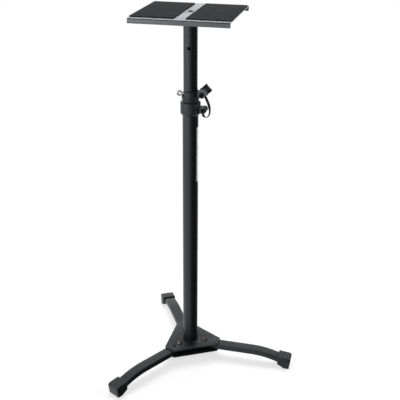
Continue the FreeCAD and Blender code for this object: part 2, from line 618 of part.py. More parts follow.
# Clamp bolt with a round head in front, and the knob that turns on its rear end
CLAMP_AT = {"axis": "y", "x": CLAMP_X, "z": CLAMP_Z}
KNOB_FACE = f"({KNOB_SEAT} + Sizes.knob_neck_length)"
KNOB_END = f"({KNOB_FACE} + Sizes.knob_head)"
INSERT_END = f"({KNOB_SEAT} + Sizes.insert_length)"
clamp_head = rod("clamp_head", "Sizes.clamp_head / 2", "-Sizes.clamp_half - Sizes.clamp_head_rise",
                 "-Sizes.clamp_half", **CLAMP_AT)
clamp_shank = rod("clamp_shank", "Sizes.clamp_bolt / 2", "-Sizes.clamp_half",
                  f"{INSERT_END} - Sizes.knob_washer_thick", **CLAMP_AT)
subpart(fuse("clamp_bolt", clamp_head, clamp_shank), "clamp_bolt")
washer_disc = rod("washer_disc", "Sizes.knob_washer_outer / 2", "Sizes.clamp_half", KNOB_SEAT, **CLAMP_AT)
washer_eye = rod("washer_eye", "Sizes.clamp_bolt / 2 + Sizes.bolt_play", "Sizes.clamp_half - Sizes.overrun",
                 f"{KNOB_SEAT} + Sizes.overrun", **CLAMP_AT)
subpart(cut("knob_washer", washer_disc, washer_eye), "knob_washer")

knob_outline = []
for step in range(8):
    reach = "Sizes.knob_waist" if step % 2 else "Sizes.knob_corner"
    knob_outline.append((f"{reach} * cos({45 * step})", f"{reach} * sin({45 * step})"))
knob_head, knob_pad = padded_body("knob_head", "XZ_Plane", knob_outline, "Sizes.knob_head")
round_edges(knob_head, knob_pad, "Sizes.knob_round", lambda edge: edge_runs_along(edge, Y_AXIS))
knob_head.Placement = FreeCAD.Placement(FreeCAD.Vector(), FreeCAD.Rotation(Y_AXIS, -SIZES["knob_turned"]))
place(knob_head, CLAMP_X, f"{KNOB_FACE} + Sizes.knob_head / 2", CLAMP_Z)
knob_neck = rod("knob_neck", "Sizes.knob_neck / 2", KNOB_SEAT, f"{KNOB_FACE} + Sizes.plug_fit", **CLAMP_AT)
knob_bore = rod("knob_bore", "Sizes.insert_outer / 2 + Sizes.plug_fit",
                f"{KNOB_SEAT} - Sizes.overrun", INSERT_END, **CLAMP_AT)
subpart(cut("knob", fuse("knob_moulding", knob_head, knob_neck), knob_bore), "clamp_knob")
insert_outside = rod("insert_outside", "Sizes.insert_outer / 2", KNOB_SEAT, INSERT_END, **CLAMP_AT)
insert_bore = rod("insert_bore", "Sizes.clamp_bolt / 2 + Sizes.bolt_play", f"{KNOB_SEAT} - Sizes.overrun",
                  f"{INSERT_END} - Sizes.tube_wall", **CLAMP_AT)
subpart(cut("insert", insert_outside, insert_bore), "knob_insert")

# Tether strap: an eyelet round the knob's neck, a free loop, and a tab held by the collar screw
eyelet_outer = "Sizes.knob_neck / 2 + Sizes.slide_gap + Sizes.eyelet_wall"
eyelet_low = "Sizes.eyelet_place - Sizes.eyelet_thick / 2"
eyelet_high = "Sizes.eyelet_place + Sizes.eyelet_thick / 2"
eyelet_disc = rod("eyelet_disc", eyelet_outer, eyelet_low, eyelet_high, **CLAMP_AT)
eyelet_hole = rod("eyelet_hole", "Sizes.knob_neck / 2 + Sizes.slide_gap", f"{eyelet_low} - Sizes.overrun",
                  f"{eyelet_high} + Sizes.overrun", **CLAMP_AT)
subpart(cut("eyelet", eyelet_disc, eyelet_hole), "strap_eyelet")

tab_strip = box("tab_strip", (f"{SCREW_X} - Sizes.tab_width", SCREW_X),
                ("-Sizes.tab_thick / 2", "Sizes.tab_thick / 2"),
                (f"{SCREW_Z} - Sizes.screw_boss / 2 - Sizes.ring_taper",
                 f"{SCREW_Z} + Sizes.tab_width / 2"))
tab_end = rod("tab_end", "Sizes.tab_width / 2", "-Sizes.tab_thick / 2", "Sizes.tab_thick / 2", **SCREW_AT)
tab_hole = rod("tab_hole", "Sizes.screw_thread / 2 + Sizes.plug_fit", "-Sizes.tab_thick", "Sizes.tab_thick",
               **SCREW_AT)
subpart(cut("tab", fuse("tab_blank", tab_strip, tab_end), tab_hole), "strap_tab")


def strap_path(points):
    """Straight runs joined by tangent arcs, each as large as its two runs allow."""
    edges = []
    start = points[0]
    for before, corner, after in zip(points, points[1:], points[2:]):
        back = (before - corner).normalize()
        ahead = (after - corner).normalize()
        reach = STRAP_BEND_SHARE * min(before.distanceToPoint(corner), after.distanceToPoint(corner))
        half_turn = (math.pi - back.getAngle(ahead)) / 2
        radius = reach / math.tan(half_turn)
        inward = (back + ahead).normalize()
        middle = corner + inward * (radius / math.cos(half_turn) - radius)
        arc_start, arc_end = corner + back * reach, corner + ahead * reach
        edges.append(Part.LineSegment(start, arc_start).toShape())
        edges.append(Part.Arc(arc_start, middle, arc_end).toShape())
        print(f"strap bend radius {radius:.1f}")
        start = arc_end
    edges.append(Part.LineSegment(start, points[-1]).toShape())
    return Part.Wire(edges)


route = [FreeCAD.Vector(*point) for point in STRAP_ROUTE]
path = strap_path(route)
section_circle = Part.Circle(route[0], route[1] - route[0], sheet.strap_section / 2)
strap_solid = path.makePipeShell([Part.Wire(section_circle.toShape())], True, True)
swept_volume = math.pi * (sheet.strap_section / 2) ** 2 * path.Length
print(f"strap length {path.Length:.1f}, volume {strap_solid.Volume:.1f} of {swept_volume:.1f}")
strap = doc.addObject("Part::Feature", "strap")
strap.Shape = strap_solid
subpart(strap, "tether_strap")

# Upper tube with cross-drilled pin holes, its glide bush and its top plug
upper_blank = tube("upper", UPPER_RADIUS, UPPER_BORE, UPPER_END, PLATE_UNDER)
pin_holes = []
for step in range(-3, 2):
    hole_axis, hole_height = ("y" if step % 2 else "x"), f"{PIN_Z} + {step} * Sizes.hole_pitch"
    pin_holes.append(rod(f"pin_hole_{step + 3}", "Sizes.pin_hole / 2",
                         "-Sizes.upper_outer", "Sizes.upper_outer", axis=hole_axis, z=hole_height))
subpart(cut("upper_drilled", upper_blank, *pin_holes), "upper_tube")

bush_turning = turned_body("bush_turning", [
    ("Sizes.bush_bore / 2", f"{UPPER_END} - Sizes.bush_head"),
    (f"{LOWER_BORE} - Sizes.slide_gap", f"{UPPER_END} - Sizes.bush_head"),
    (f"{LOWER_BORE} - Sizes.slide_gap", UPPER_END),
    (f"{UPPER_BORE} - Sizes.slide_gap", UPPER_END),
    (f"{UPPER_BORE} - Sizes.slide_gap", f"{UPPER_END} + Sizes.bush_spigot"),
    ("Sizes.bush_bore / 2", f"{UPPER_END} + Sizes.bush_spigot"),
])
subpart(bush_turning, "pole_glide_bush")
subpart(tube("top_plug", f"{UPPER_BORE} - Sizes.plug_fit", "Sizes.plate_bolt / 2 + Sizes.plug_fit",
             f"{PLATE_UNDER} - Sizes.top_plug_length", PLATE_UNDER), "pole_top_plug")

# Locking pin with a forged eye, through the upper tube and resting in the collar's cut-away
EYE_X = f"(-{RIM_RADIUS} - Sizes.eye_gap)"
eye_disc = rod("eye_disc", "Sizes.eye_outer / 2", "-Sizes.eye_thick / 2", "Sizes.eye_thick / 2",
               axis="y", x=EYE_X, z=PIN_Z)
eye_bore = rod("eye_bore", "Sizes.eye_hole / 2", "-Sizes.eye_thick", "Sizes.eye_thick",
               axis="y", x=EYE_X, z=PIN_Z)
pin_shank = rod("pin_shank", "Sizes.pin_diameter / 2", f"{EYE_X} + (Sizes.eye_hole + Sizes.eye_outer) / 4",
                f"sqrt({UPPER_RADIUS}^2 - (Sizes.pin_diameter / 2)^2) - Sizes.plug_fit", axis="x", z=PIN_Z)
subpart(cut("pin", fuse("pin_forging", eye_disc, pin_shank), eye_bore), "locking_pin")

# Platform: a sheet plate with its front and rear edges rolled under, and a groove along each lip
half_depth, lip_inside = "Sizes.plate_depth / 2", "(Sizes.plate_depth / 2 - Sizes.plate_sheet)"
LIP_END = "(Sizes.platform_top - Sizes.lip_height)"
LIP_GROOVE = "(Sizes.platform_top - Sizes.lip_nose)"
lip_side = [
    (half_depth, "Sizes.platform_top"),
    (half_depth, LIP_GROOVE),
    (f"{half_depth} - Sizes.lip_groove_depth", LIP_GROOVE),
    (f"{half_depth} - Sizes.lip_groove_depth", f"{LIP_GROOVE} - Sizes.lip_groove"),
    (half_depth, f"{LIP_GROOVE} - Sizes.lip_groove"),
    (half_depth, LIP_END),
    (f"{half_depth} - Sizes.lip_return", LIP_END),
    (f"{half_depth} - Sizes.lip_return", f"{LIP_END} + Sizes.plate_sheet"),
    (lip_inside, f"{LIP_END} + Sizes.plate_sheet"),
    (lip_inside, PLATE_UNDER),
]
plate_outline = lip_side + [(f"-({across})", height) for across, height in reversed(lip_side)]
plate_body, plate_pad = padded_body("plate_sheet", "YZ_Plane", plate_outline, "Sizes.plate_width")


def on_bend(edge, across, *heights):
    """Picks the long edges of the rolled lips at this distance from the middle and at these heights."""
    middle = edge.CenterOfMass
    return (edge_runs_along(edge, X_AXIS) and abs(abs(middle.y) - across) < 1e-6
            and any(abs(middle.z - height) < 1e-6 for height in heights))


lip_end = sheet.platform_top - sheet.lip_height
outer_bend = round_edges(plate_body, plate_pad, "Sizes.lip_round",
                         lambda edge: on_bend(edge, sheet.plate_depth / 2, lip_end))
round_edges(plate_body, outer_bend, "Sizes.lip_round - Sizes.plate_sheet",
            lambda edge: on_bend(edge, sheet.plate_depth / 2 - sheet.plate_sheet,
                                 sheet.platform_top - sheet.plate_sheet, lip_end + sheet.plate_sheet))
plate_hole = rod("plate_hole", "Sizes.plate_bolt / 2 + Sizes.bolt_play",
                 f"{PLATE_UNDER} - Sizes.overrun", "Sizes.platform_top + Sizes.overrun")
subpart(cut("plate", plate_body, plate_hole), "top_plate")

plate_head = dome("plate_head", "Sizes.plate_bolt_head", "Sizes.plate_bolt_rise", "Sizes.platform_top")
plate_shank = rod("plate_shank", "Sizes.plate_bolt / 2", f"{PLATE_UNDER} - Sizes.top_plug_length",
                  "Sizes.platform_top + Sizes.plug_fit")
subpart(fuse("plate_bolt", plate_head, plate_shank), "plate_bolt")


# Grip mats: two foam sheets glued to the plate, with a bare strip between them
def make_mat(side, sign):
    half_width, half_length = "Sizes.mat_width / 2", "Sizes.mat_depth / 2"
    corners = [(f"{along}{half_width}", f"{across}{half_length}")
               for along, across in (("-", "-"), ("", "-"), ("", ""), ("-", ""))]
    body, pad = padded_body(f"mat_{side}", "XY_Plane", corners, "Sizes.mat_thick")
    round_edges(body, pad, "Sizes.mat_corner", lambda edge: edge_runs_along(edge, Z_AXIS))
    return place(body, f"{sign} * (Sizes.mat_strip + Sizes.mat_width) / 2", "0",
                 "Sizes.platform_top + Sizes.mat_thick / 2")


subpart(make_mat("left", -1), "grip_mat_left")
subpart(make_mat("right", 1), "grip_mat_right")

# Check every object, then write one file for each sub-part
doc.recompute()
broken = [obj.Name for obj in doc.Objects if "Invalid" in obj.State or "Error" in obj.State]
for piece in SUBPARTS:
    if piece.Shape.isNull() or not piece.Shape.isValid() or not piece.Shape.Solids:
        broken.append(piece.Label)
if broken:
    raise RuntimeError(f"failed objects: {broken}")
os.makedirs("parts", exist_ok=True)
for piece in SUBPARTS:
    piece.Shape.exportStep(f"parts/{piece.Label}.step")
    limits = piece.Shape.BoundBox
    print(f"{piece.Label}: {len(piece.Shape.Solids)} solid(s), {piece.Shape.Volume / 1000:.2f} cm3, "
          f"z {limits.ZMin:.1f} to {limits.ZMax:.1f}")
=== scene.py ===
"""Looks of the speaker stand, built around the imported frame, in metres and in the frame's own axes."""
import bpy
import math
from mathutils import Matrix, Vector


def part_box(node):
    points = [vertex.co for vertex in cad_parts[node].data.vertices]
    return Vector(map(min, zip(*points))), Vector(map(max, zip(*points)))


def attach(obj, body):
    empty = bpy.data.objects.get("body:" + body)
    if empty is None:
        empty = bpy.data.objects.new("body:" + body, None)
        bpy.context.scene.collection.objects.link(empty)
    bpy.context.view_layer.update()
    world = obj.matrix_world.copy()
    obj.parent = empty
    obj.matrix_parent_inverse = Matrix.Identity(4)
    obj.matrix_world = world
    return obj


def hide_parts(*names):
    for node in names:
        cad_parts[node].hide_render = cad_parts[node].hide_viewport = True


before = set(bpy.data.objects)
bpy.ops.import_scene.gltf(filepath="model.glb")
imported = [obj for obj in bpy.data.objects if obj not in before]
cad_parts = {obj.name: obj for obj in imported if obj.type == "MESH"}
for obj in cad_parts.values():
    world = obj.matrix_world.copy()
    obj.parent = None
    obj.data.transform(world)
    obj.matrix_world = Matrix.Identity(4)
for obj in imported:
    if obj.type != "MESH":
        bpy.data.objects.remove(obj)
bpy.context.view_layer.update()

# Studio: white surroundings that mirror as dark at the right front, a white floor that keeps the shadow,
# a broad soft lamp at the left, one high up behind and a weak one at the right. Only the left lamp is
# mirrored. The camera stands where the photograph was taken from.
scene = bpy.context.scene
scene.view_settings.view_transform = "Standard"
IMAGE_PIXELS, FOCAL_PIXELS, SENSOR_MM = 400, 780.7, 36.0
CAMERA_PLACE = (0.4454, -1.8266, 1.2834)
HEADING, DOWN, ROLL = math.radians(12.94), math.radians(23.386), math.radians(0.33)
camera_lens = bpy.data.cameras.new("camera")
camera_lens.sensor_width = SENSOR_MM
camera_lens.lens = FOCAL_PIXELS / IMAGE_PIXELS * SENSOR_MM
camera = bpy.data.objects.new("camera", camera_lens)
scene.collection.objects.link(camera)
camera.matrix_world = (
    Matrix.Translation(CAMERA_PLACE)
    @ Matrix.Rotation(HEADING, 4, "Z")
    @ Matrix.Rotation(math.pi / 2 - DOWN, 4, "X")
    @ Matrix.Rotation(ROLL, 4, "Z")
)
scene.camera = camera


def rays(tree, *kinds):
    """1 on rays of these kinds, 0 on the others."""
    path = tree.nodes.new("ShaderNodeLightPath")
    chosen = path.outputs[kinds[0]]
    for kind in kinds[1:]:
        either = tree.nodes.new("ShaderNodeMath")
        either.operation = "MAXIMUM"
        tree.links.new(chosen, either.inputs[0])
        tree.links.new(path.outputs[kind], either.inputs[1])
        chosen = either.outputs[0]
    return chosen


def remap(tree, value, *limits):
    """Maps a value smoothly from one range to another."""
    mapped = tree.nodes.new("ShaderNodeMapRange")
    mapped.interpolation_type = "SMOOTHSTEP"
    for socket, limit in zip(("From Min", "From Max", "To Min", "To Max"), limits):
        mapped.inputs[socket].default_value = limit
    tree.links.new(value, mapped.inputs["Value"])
    return mapped.outputs["Result"]


DARK_WAY, DARK_LEVEL = (0.981, -0.196, 0.0), 0.05
FADE_START, FADE_END = 0.0, 0.75


def bright_side(tree, way):
    """Brightness of the surroundings in a direction: white, falling off towards the right front."""
    for operation, operand in (("MULTIPLY", (1, 1, 0)), ("NORMALIZE", None), ("DOT_PRODUCT", DARK_WAY)):
        step = tree.nodes.new("ShaderNodeVectorMath")
        step.operation = operation
        tree.links.new(way, step.inputs[0])
        if operand:
            step.inputs[1].default_value = operand
        way = step.outputs[0]
    return remap(tree, step.outputs["Value"], FADE_START, FADE_END, 1.0, DARK_LEVEL)


DIM_SKY = 0.05
surroundings = bpy.data.worlds.new("surroundings")
scene.world = surroundings
surroundings.use_nodes = True
sky = surroundings.node_tree
sky.nodes.clear()
dim_sky, white_sky = sky.nodes.new("ShaderNodeBackground"), sky.nodes.new("ShaderNodeBackground")
dim_sky.inputs["Strength"].default_value = DIM_SKY
for background in (dim_sky, white_sky):
    background.inputs["Color"].default_value = (1, 1, 1, 1)
sky_way = sky.nodes.new("ShaderNodeTexCoord").outputs["Generated"]
sky_level = sky.nodes.new("ShaderNodeMath")
sky_level.operation = "MAXIMUM"
sky.links.new(rays(sky, "Is Camera Ray", "Is Transmission Ray"), sky_level.inputs[0])
sky.links.new(bright_side(sky, sky_way), sky_level.inputs[1])
sky.links.new(sky_level.outputs[0], white_sky.inputs["Strength"])
sky_choice, sky_output = sky.nodes.new("ShaderNodeMixShader"), sky.nodes.new("ShaderNodeOutputWorld")
sky.links.new(rays(sky, "Is Camera Ray", "Is Glossy Ray", "Is Transmission Ray"), sky_choice.inputs["Fac"])
sky.links.new(dim_sky.outputs[0], sky_choice.inputs[1])
sky.links.new(white_sky.outputs[0], sky_choice.inputs[2])
sky.links.new(sky_choice.outputs[0], sky_output.inputs["Surface"])

FLOOR_SIZE, FLOOR_GAP = 30, 0.0006
FLOOR_TONE, BOUNCE_TONE, FLOOR_GLOW = 0.32, 0.10, 0.70
LIT_REACH, WHITE_REACH = 0.40, 0.95
bpy.ops.object.select_all(action="DESELECT")
bpy.ops.mesh.primitive_plane_add(size=FLOOR_SIZE, location=(0, 0, -FLOOR_GAP))
floor = bpy.context.object
floor.name = "floor"
white_floor = bpy.data.materials.new("white_floor")
white_floor.use_nodes = True
ground = white_floor.node_tree
ground.nodes.clear()
matt, dull = ground.nodes.new("ShaderNodeBsdfDiffuse"), ground.nodes.new("ShaderNodeBsdfDiffuse")
matt.inputs["Color"].default_value = (FLOOR_TONE, FLOOR_TONE, FLOOR_TONE, 1)
dull.inputs["Color"].default_value = (BOUNCE_TONE, BOUNCE_TONE, BOUNCE_TONE, 1)
glow, far_white = ground.nodes.new("ShaderNodeEmission"), ground.nodes.new("ShaderNodeEmission")
glow.inputs["Strength"].default_value = FLOOR_GLOW
far_white.inputs["Strength"].default_value = 1.0
spot = ground.nodes.new("ShaderNodeTexCoord").outputs["Object"]
reach = ground.nodes.new("ShaderNodeVectorMath")
reach.operation = "LENGTH"
ground.links.new(spot, reach.inputs[0])
away = remap(ground, reach.outputs["Value"], LIT_REACH, WHITE_REACH, 0.0, 1.0)
lifted, seen_floor = ground.nodes.new("ShaderNodeAddShader"), ground.nodes.new("ShaderNodeMixShader")
ground.links.new(matt.outputs[0], lifted.inputs[0])
ground.links.new(glow.outputs[0], lifted.inputs[1])
ground.links.new(away, seen_floor.inputs["Fac"])
ground.links.new(lifted.outputs[0], seen_floor.inputs[1])
ground.links.new(far_white.outputs[0], seen_floor.inputs[2])
ground_choice = ground.nodes.new("ShaderNodeMixShader")
ground_output = ground.nodes.new("ShaderNodeOutputMaterial")
ground.links.new(rays(ground, "Is Camera Ray", "Is Transmission Ray"), ground_choice.inputs["Fac"])
ground.links.new(dull.outputs[0], ground_choice.inputs[1])
ground.links.new(seen_floor.outputs[0], ground_choice.inputs[2])
ground.links.new(ground_choice.outputs[0], ground_output.inputs["Surface"])
floor.data.materials.append(white_floor)
floor.visible_glossy = False

for lamp_name, watts, place, target, width, height in (
    ("left_lamp", 19, (-1.45, -1.65, 1.20), (0.0, 0.0, 0.45), 2.0, 2.2),
    ("top_lamp", 310, (-0.40, 1.80, 5.20), (0.0, 0.0, 0.0), 3.6, 3.6),
    ("right_fill", 30, (2.00, 0.20, 0.70), (0.0, 0.0, 0.60), 1.6, 1.6),
):
    light = bpy.data.lights.new(lamp_name, "AREA")
    light.energy, light.shape, light.size, light.size_y = watts, "RECTANGLE", width, height
    lamp = bpy.data.objects.new(lamp_name, light)
    scene.collection.objects.link(lamp)
    lamp.location = place
    lamp.rotation_euler = (Vector(target) - Vector(place)).to_track_quat("-Z", "Y").to_euler()
    lamp.visible_glossy = lamp_name == "left_lamp"

# Hub plates: two laser-cut steel plates with satin black powder coat, one above and one below
# the legs. Their cut edges are slightly rounded and take a lighter copy of the coat: a painted highlight.
MERGE_GAP, FLAT_ANGLE = 2e-6, math.radians(0.5)
GRAIN_LOW, GRAIN_HIGH = 0.32, 0.68
HUB_EDGE = 0.0006
COOL_SHEEN = (0.88, 0.97, 1.0, 1)


def take(piece):
    """Selects one piece alone."""
    bpy.ops.object.select_all(action="DESELECT")
    piece.select_set(True)
    bpy.context.view_layer.objects.active = piece


def work(piece, kind, **settings):
    """Adds a modifier, sets it and applies it."""
    modifier = piece.modifiers.new(kind.lower(), kind)
    for name, value in settings.items():
        setattr(modifier, name, value)
    take(piece)
    bpy.ops.object.modifier_apply(modifier=modifier.name)


def cad_copy(node, name):
    """A copy of a CAD node with its loose triangles joined into whole faces."""
    piece = bpy.data.objects.new(name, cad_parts[node].data.copy())
    scene.collection.objects.link(piece)
    piece.data.materials.clear()
    take(piece)
    bpy.ops.object.mode_set(mode="EDIT")
    bpy.ops.mesh.select_all(action="SELECT")
    bpy.ops.mesh.customdata_custom_splitnormals_clear()
    bpy.ops.mesh.remove_doubles(threshold=MERGE_GAP)
    bpy.ops.mesh.dissolve_limited(angle_limit=FLAT_ANGLE)
    bpy.ops.object.mode_set(mode="OBJECT")
    return piece


def soften(piece, width, segments=2, sharper_than=35, edge_slot=1):
    """Rounds the sharp edges. The strip takes the piece's second finish, or none of its own with -1."""
    work(piece, "BEVEL", width=width, segments=segments, limit_method="ANGLE",
         angle_limit=math.radians(sharper_than), material=edge_slot)


def fit(piece, body, slot_name, *nodes, finishes=(), smooth=40):
    """Dresses, cleans and shades a finished piece and puts it on its body in the place of its nodes."""
    for finish in finishes:
        piece.data.materials.append(finish)
    take(piece)
    bpy.ops.object.mode_set(mode="EDIT")
    bpy.ops.mesh.select_all(action="SELECT")
    bpy.ops.mesh.dissolve_degenerate(threshold=MERGE_GAP)
    bpy.ops.object.mode_set(mode="OBJECT")
    bpy.ops.object.shade_smooth_by_angle(angle=math.radians(smooth))
    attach(piece, body)
    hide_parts(*nodes)


def new_finish(name, **constants):
    """A new material with constant values on the shader's own sockets, and Object coordinates."""
    finish = bpy.data.materials.new(name)
    finish.use_nodes = True
    tree = finish.node_tree
    shader = tree.nodes["Principled BSDF"]
    for socket, value in constants.items():
        shader.inputs[socket.replace("_", " ")].default_value = value
    return finish, tree, shader, tree.nodes.new("ShaderNodeTexCoord").outputs["Object"]


def grains(tree, place, size, detail=2.0):
    """Mottling whose grains have this size in metres."""
    noise = tree.nodes.new("ShaderNodeTexNoise")
    noise.inputs["Scale"].default_value = 1 / size
    noise.inputs["Detail"].default_value = detail
    tree.links.new(place, noise.inputs["Vector"])
    return noise.outputs["Fac"]


def colour_by(tree, shader, factor, low, high):
    """Lets mottling choose between two colours."""
    ramp = tree.nodes.new("ShaderNodeValToRGB")
    for stop, position, colour in zip(ramp.color_ramp.elements, (GRAIN_LOW, GRAIN_HIGH), (low, high)):
        stop.position, stop.color = position, (*colour, 1)
    tree.links.new(factor, ramp.inputs["Fac"])
    tree.links.new(ramp.outputs["Color"], shader.inputs["Base Color"])


def roughness_by(tree, shader, factor, low, high):
    """Lets mottling choose between two roughnesses."""
    tree.links.new(remap(tree, factor, GRAIN_LOW, GRAIN_HIGH, low, high), shader.inputs["Roughness"])


def relief_by(tree, shader, factor, height, strength):
    """Raises the surface by mottling, up to a height in metres."""
    bump = tree.nodes.new("ShaderNodeBump")
    bump.inputs["Distance"].default_value = height
    bump.inputs["Strength"].default_value = strength
    tree.links.new(factor, bump.inputs["Height"])
    tree.links.new(bump.outputs["Normal"], shader.inputs["Normal"])


def mottled(name, low, high, cloud, rough, gloss, relief=None, **constants):
    """A finish with clouds between two colours, patches of gloss and, if given, a fine relief.

    The cloud and the gloss say the size and detail of their grains, the relief its size, height and strength.
    """
    finish, tree, shader, place = new_finish(name, **constants)
    colour_by(tree, shader, grains(tree, place, *cloud), low, high)
    roughness_by(tree, shader, grains(tree, place, *gloss), *rough)
    if relief:
        grain, height, strength = relief
        relief_by(tree, shader, grains(tree, place, grain), height, strength)
    return finish


def powder_coat(name, low, high, rough=(0.36, 0.46), specular=0.5, peel=0.0009, height=0.00006):
    """Powder coat: cloudy tone and gloss over a fine orange peel."""
    return mottled(name, low, high, (0.035, 4.0), rough, (0.006, 3.0), (peel, height, 0.5),
                   Specular_IOR_Level=specular, Specular_Tint=COOL_SHEEN)


black_coat = powder_coat("black_coat", (0.007, 0.0079, 0.0083), (0.011, 0.0120, 0.0125), specular=0.48)
# A lighter copy of the black coat for the rounded edges: painted highlight along them.
black_coat_painted_highlight = powder_coat("black_coat_painted_highlight", (0.022, 0.0232, 0.0238), (0.032, 0.0334, 0.0340))
for plate_node in ("hub_top_plate", "hub_bottom_plate"):
    hub_plate = cad_copy(plate_node, plate_node + "_coated")
    soften(hub_plate, HUB_EDGE)
    fit(hub_plate, "base", "black_coat", plate_node, finishes=(black_coat, black_coat_painted_highlight))

# Legs: rectangular steel tube with rounded corners, straight in the hub and bent down to the foot.
# The right leg is coped round the pole; all three have a cross hole for the pivot bolt.
LEG_WIDTH, LEG_HEIGHT, LEG_WALL, LEG_CORNER = 0.030, 0.015, 0.0015, 0.0028
PIVOT_RADIUS, BEND_START, BEND_RADIUS, LEG_TIP_HEIGHT = 0.0415, 0.178, 0.220, 0.016
LEG_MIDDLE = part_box("leg_right")[1].z - LEG_HEIGHT / 2
LEG_TURNS = {"right": -1.1, "rear_left": 118.9, "front_left": 238.9}
LEG_BODIES = {"right": "base", "rear_left": "rear_leg", "front_left": "front_leg"}
FIXED_ROOT, FOLDING_TAIL = 0.0005, 0.012
PIVOT_HOLE, COPE_RADIUS, DRILL_DEPTH = 0.0042, 0.0201, 0.03
bend_angle = math.acos(1 - (LEG_MIDDLE - LEG_TIP_HEIGHT) / BEND_RADIUS)


def combine(piece, tool, operation="DIFFERENCE"):
    """Cuts a tool out of a piece, or joins or intersects the two, and clears the tool away."""
    work(piece, "BOOLEAN", operation=operation, object=tool, solver="EXACT")
    bpy.data.objects.remove(tool)


def cut_round(piece, radius, centre):
    """Drills an upright round hole."""
    bpy.ops.object.select_all(action="DESELECT")
    bpy.ops.mesh.primitive_cylinder_add(vertices=64, radius=radius, depth=DRILL_DEPTH, location=centre)
    combine(piece, bpy.context.object)


def bent_leg(name, root):
    """A leg along +X: its section is extruded, spun round the bend, and hollowed."""
    bpy.ops.object.select_all(action="DESELECT")
    bpy.ops.mesh.primitive_plane_add(size=1, location=(root, 0, LEG_MIDDLE), rotation=(0, math.pi / 2, 0))
    leg = bpy.context.object
    leg.name = name
    leg.scale = (LEG_HEIGHT, LEG_WIDTH, 1)
    bpy.ops.object.transform_apply(location=True, rotation=True, scale=True)
    bpy.ops.object.mode_set(mode="EDIT")
    bpy.ops.mesh.select_all(action="SELECT")
    bpy.ops.mesh.bevel(offset=LEG_CORNER, segments=5, affect="VERTICES")
    bpy.ops.mesh.delete(type="ONLY_FACE")
    bpy.ops.mesh.select_all(action="SELECT")
    bpy.ops.mesh.extrude_region_move(TRANSFORM_OT_translate={"value": (BEND_START - root, 0, 0)})
    bpy.ops.mesh.spin(steps=28, angle=-bend_angle, axis=(0, 1, 0),
                      center=(BEND_START, 0, LEG_MIDDLE - BEND_RADIUS))
    bpy.ops.mesh.select_all(action="SELECT")
    bpy.ops.mesh.remove_doubles(threshold=MERGE_GAP)
    bpy.ops.mesh.normals_make_consistent(inside=False)
    bpy.ops.object.mode_set(mode="OBJECT")
    work(leg, "SOLIDIFY", thickness=LEG_WALL, offset=-1)
    return leg


for leg_name, leg_turn in LEG_TURNS.items():
    leg_root = FIXED_ROOT if leg_name == "right" else PIVOT_RADIUS - FOLDING_TAIL
    leg = bent_leg(f"leg_{leg_name}_coated", leg_root)
    cut_round(leg, PIVOT_HOLE, (PIVOT_RADIUS, 0, LEG_MIDDLE))
    if leg_name == "right":
        cut_round(leg, COPE_RADIUS, (0, 0, LEG_MIDDLE))
    leg.data.transform(Matrix.Rotation(math.radians(leg_turn), 4, "Z"))
    fit(leg, LEG_BODIES[leg_name], "black_coat", f"leg_{leg_name}", finishes=(black_coat,))

# Feet: moulded rubber caps pushed over the leg ends. The mouth is rounded off, and two shallow treads
# cross the flat sole.
TREAD_RADII, TREAD_WIDTH, TREAD_DEPTH = (0.2756, 0.2800), 0.0016, 0.0008
FOOT_EDGE = 0.0007
foot_rubber = mottled("foot_rubber", (0.008, 0.0084, 0.0087), (0.012, 0.0125, 0.0129), (0.012, 5.0),
                      (0.36, 0.48), (0.004, 2.0), (0.0012, 0.00012, 0.6),
                      Specular_IOR_Level=0.42, Specular_Tint=COOL_SHEEN)
for leg_name, leg_turn in LEG_TURNS.items():
    foot = cad_copy(f"foot_{leg_name}", f"foot_{leg_name}_rubber")
    for tread_radius in TREAD_RADII:
        bpy.ops.object.select_all(action="DESELECT")
        bpy.ops.mesh.primitive_cube_add(size=1, location=(tread_radius, 0, 0))
        tread = bpy.context.object
        tread.scale = (TREAD_WIDTH, 2 * LEG_WIDTH, 2 * TREAD_DEPTH)
        bpy.ops.object.transform_apply(location=True, scale=True)
        tread.data.transform(Matrix.Rotation(math.radians(leg_turn), 4, "Z"))
        combine(foot, tread)
    soften(foot, FOOT_EDGE, segments=3)
    fit(foot, LEG_BODIES[leg_name], "foot_rubber", f"foot_{leg_name}", finishes=(foot_rubber, foot_rubber))

# Fasteners of the hub: dome-headed pivot bolts and plain washers in dull zinc-plated steel, lock nuts
# with a nylon ring below, blackened detent domes beside the folding legs, sleeves inside the leg ends.
NUT_LOW, NUT_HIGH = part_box("leg_pivot_nuts")[0].z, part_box("leg_pivot_nuts")[1].z
NUT_FLATS, NUT_CHAMFER, NUT_BORE = 0.013, 0.0011, 0.0041
RING_RADIUS, RING_THICK, RING_SUNK = 0.0048, 0.0005, 0.0002
TURNED_OFF = 1.001


def plated_steel(name, low, high, rough, scratch=0.0012, rim=(1.0, 1.0, 1.0)):
    """Plated steel: cloudy plating with fine scratches across it. The rim is the tint at a glancing view."""
    return mottled(name, low, high, (0.004, 5.0), rough, (scratch, 3.0), (scratch / 3, 0.00002, 0.4),
                   Metallic=1.0, Specular_Tint=(*rim, 1))


def dress(finish, *nodes):
    """Gives CAD nodes a finish of the scene's own."""
    for node in nodes:
        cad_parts[node].material_slots[0].material = finish


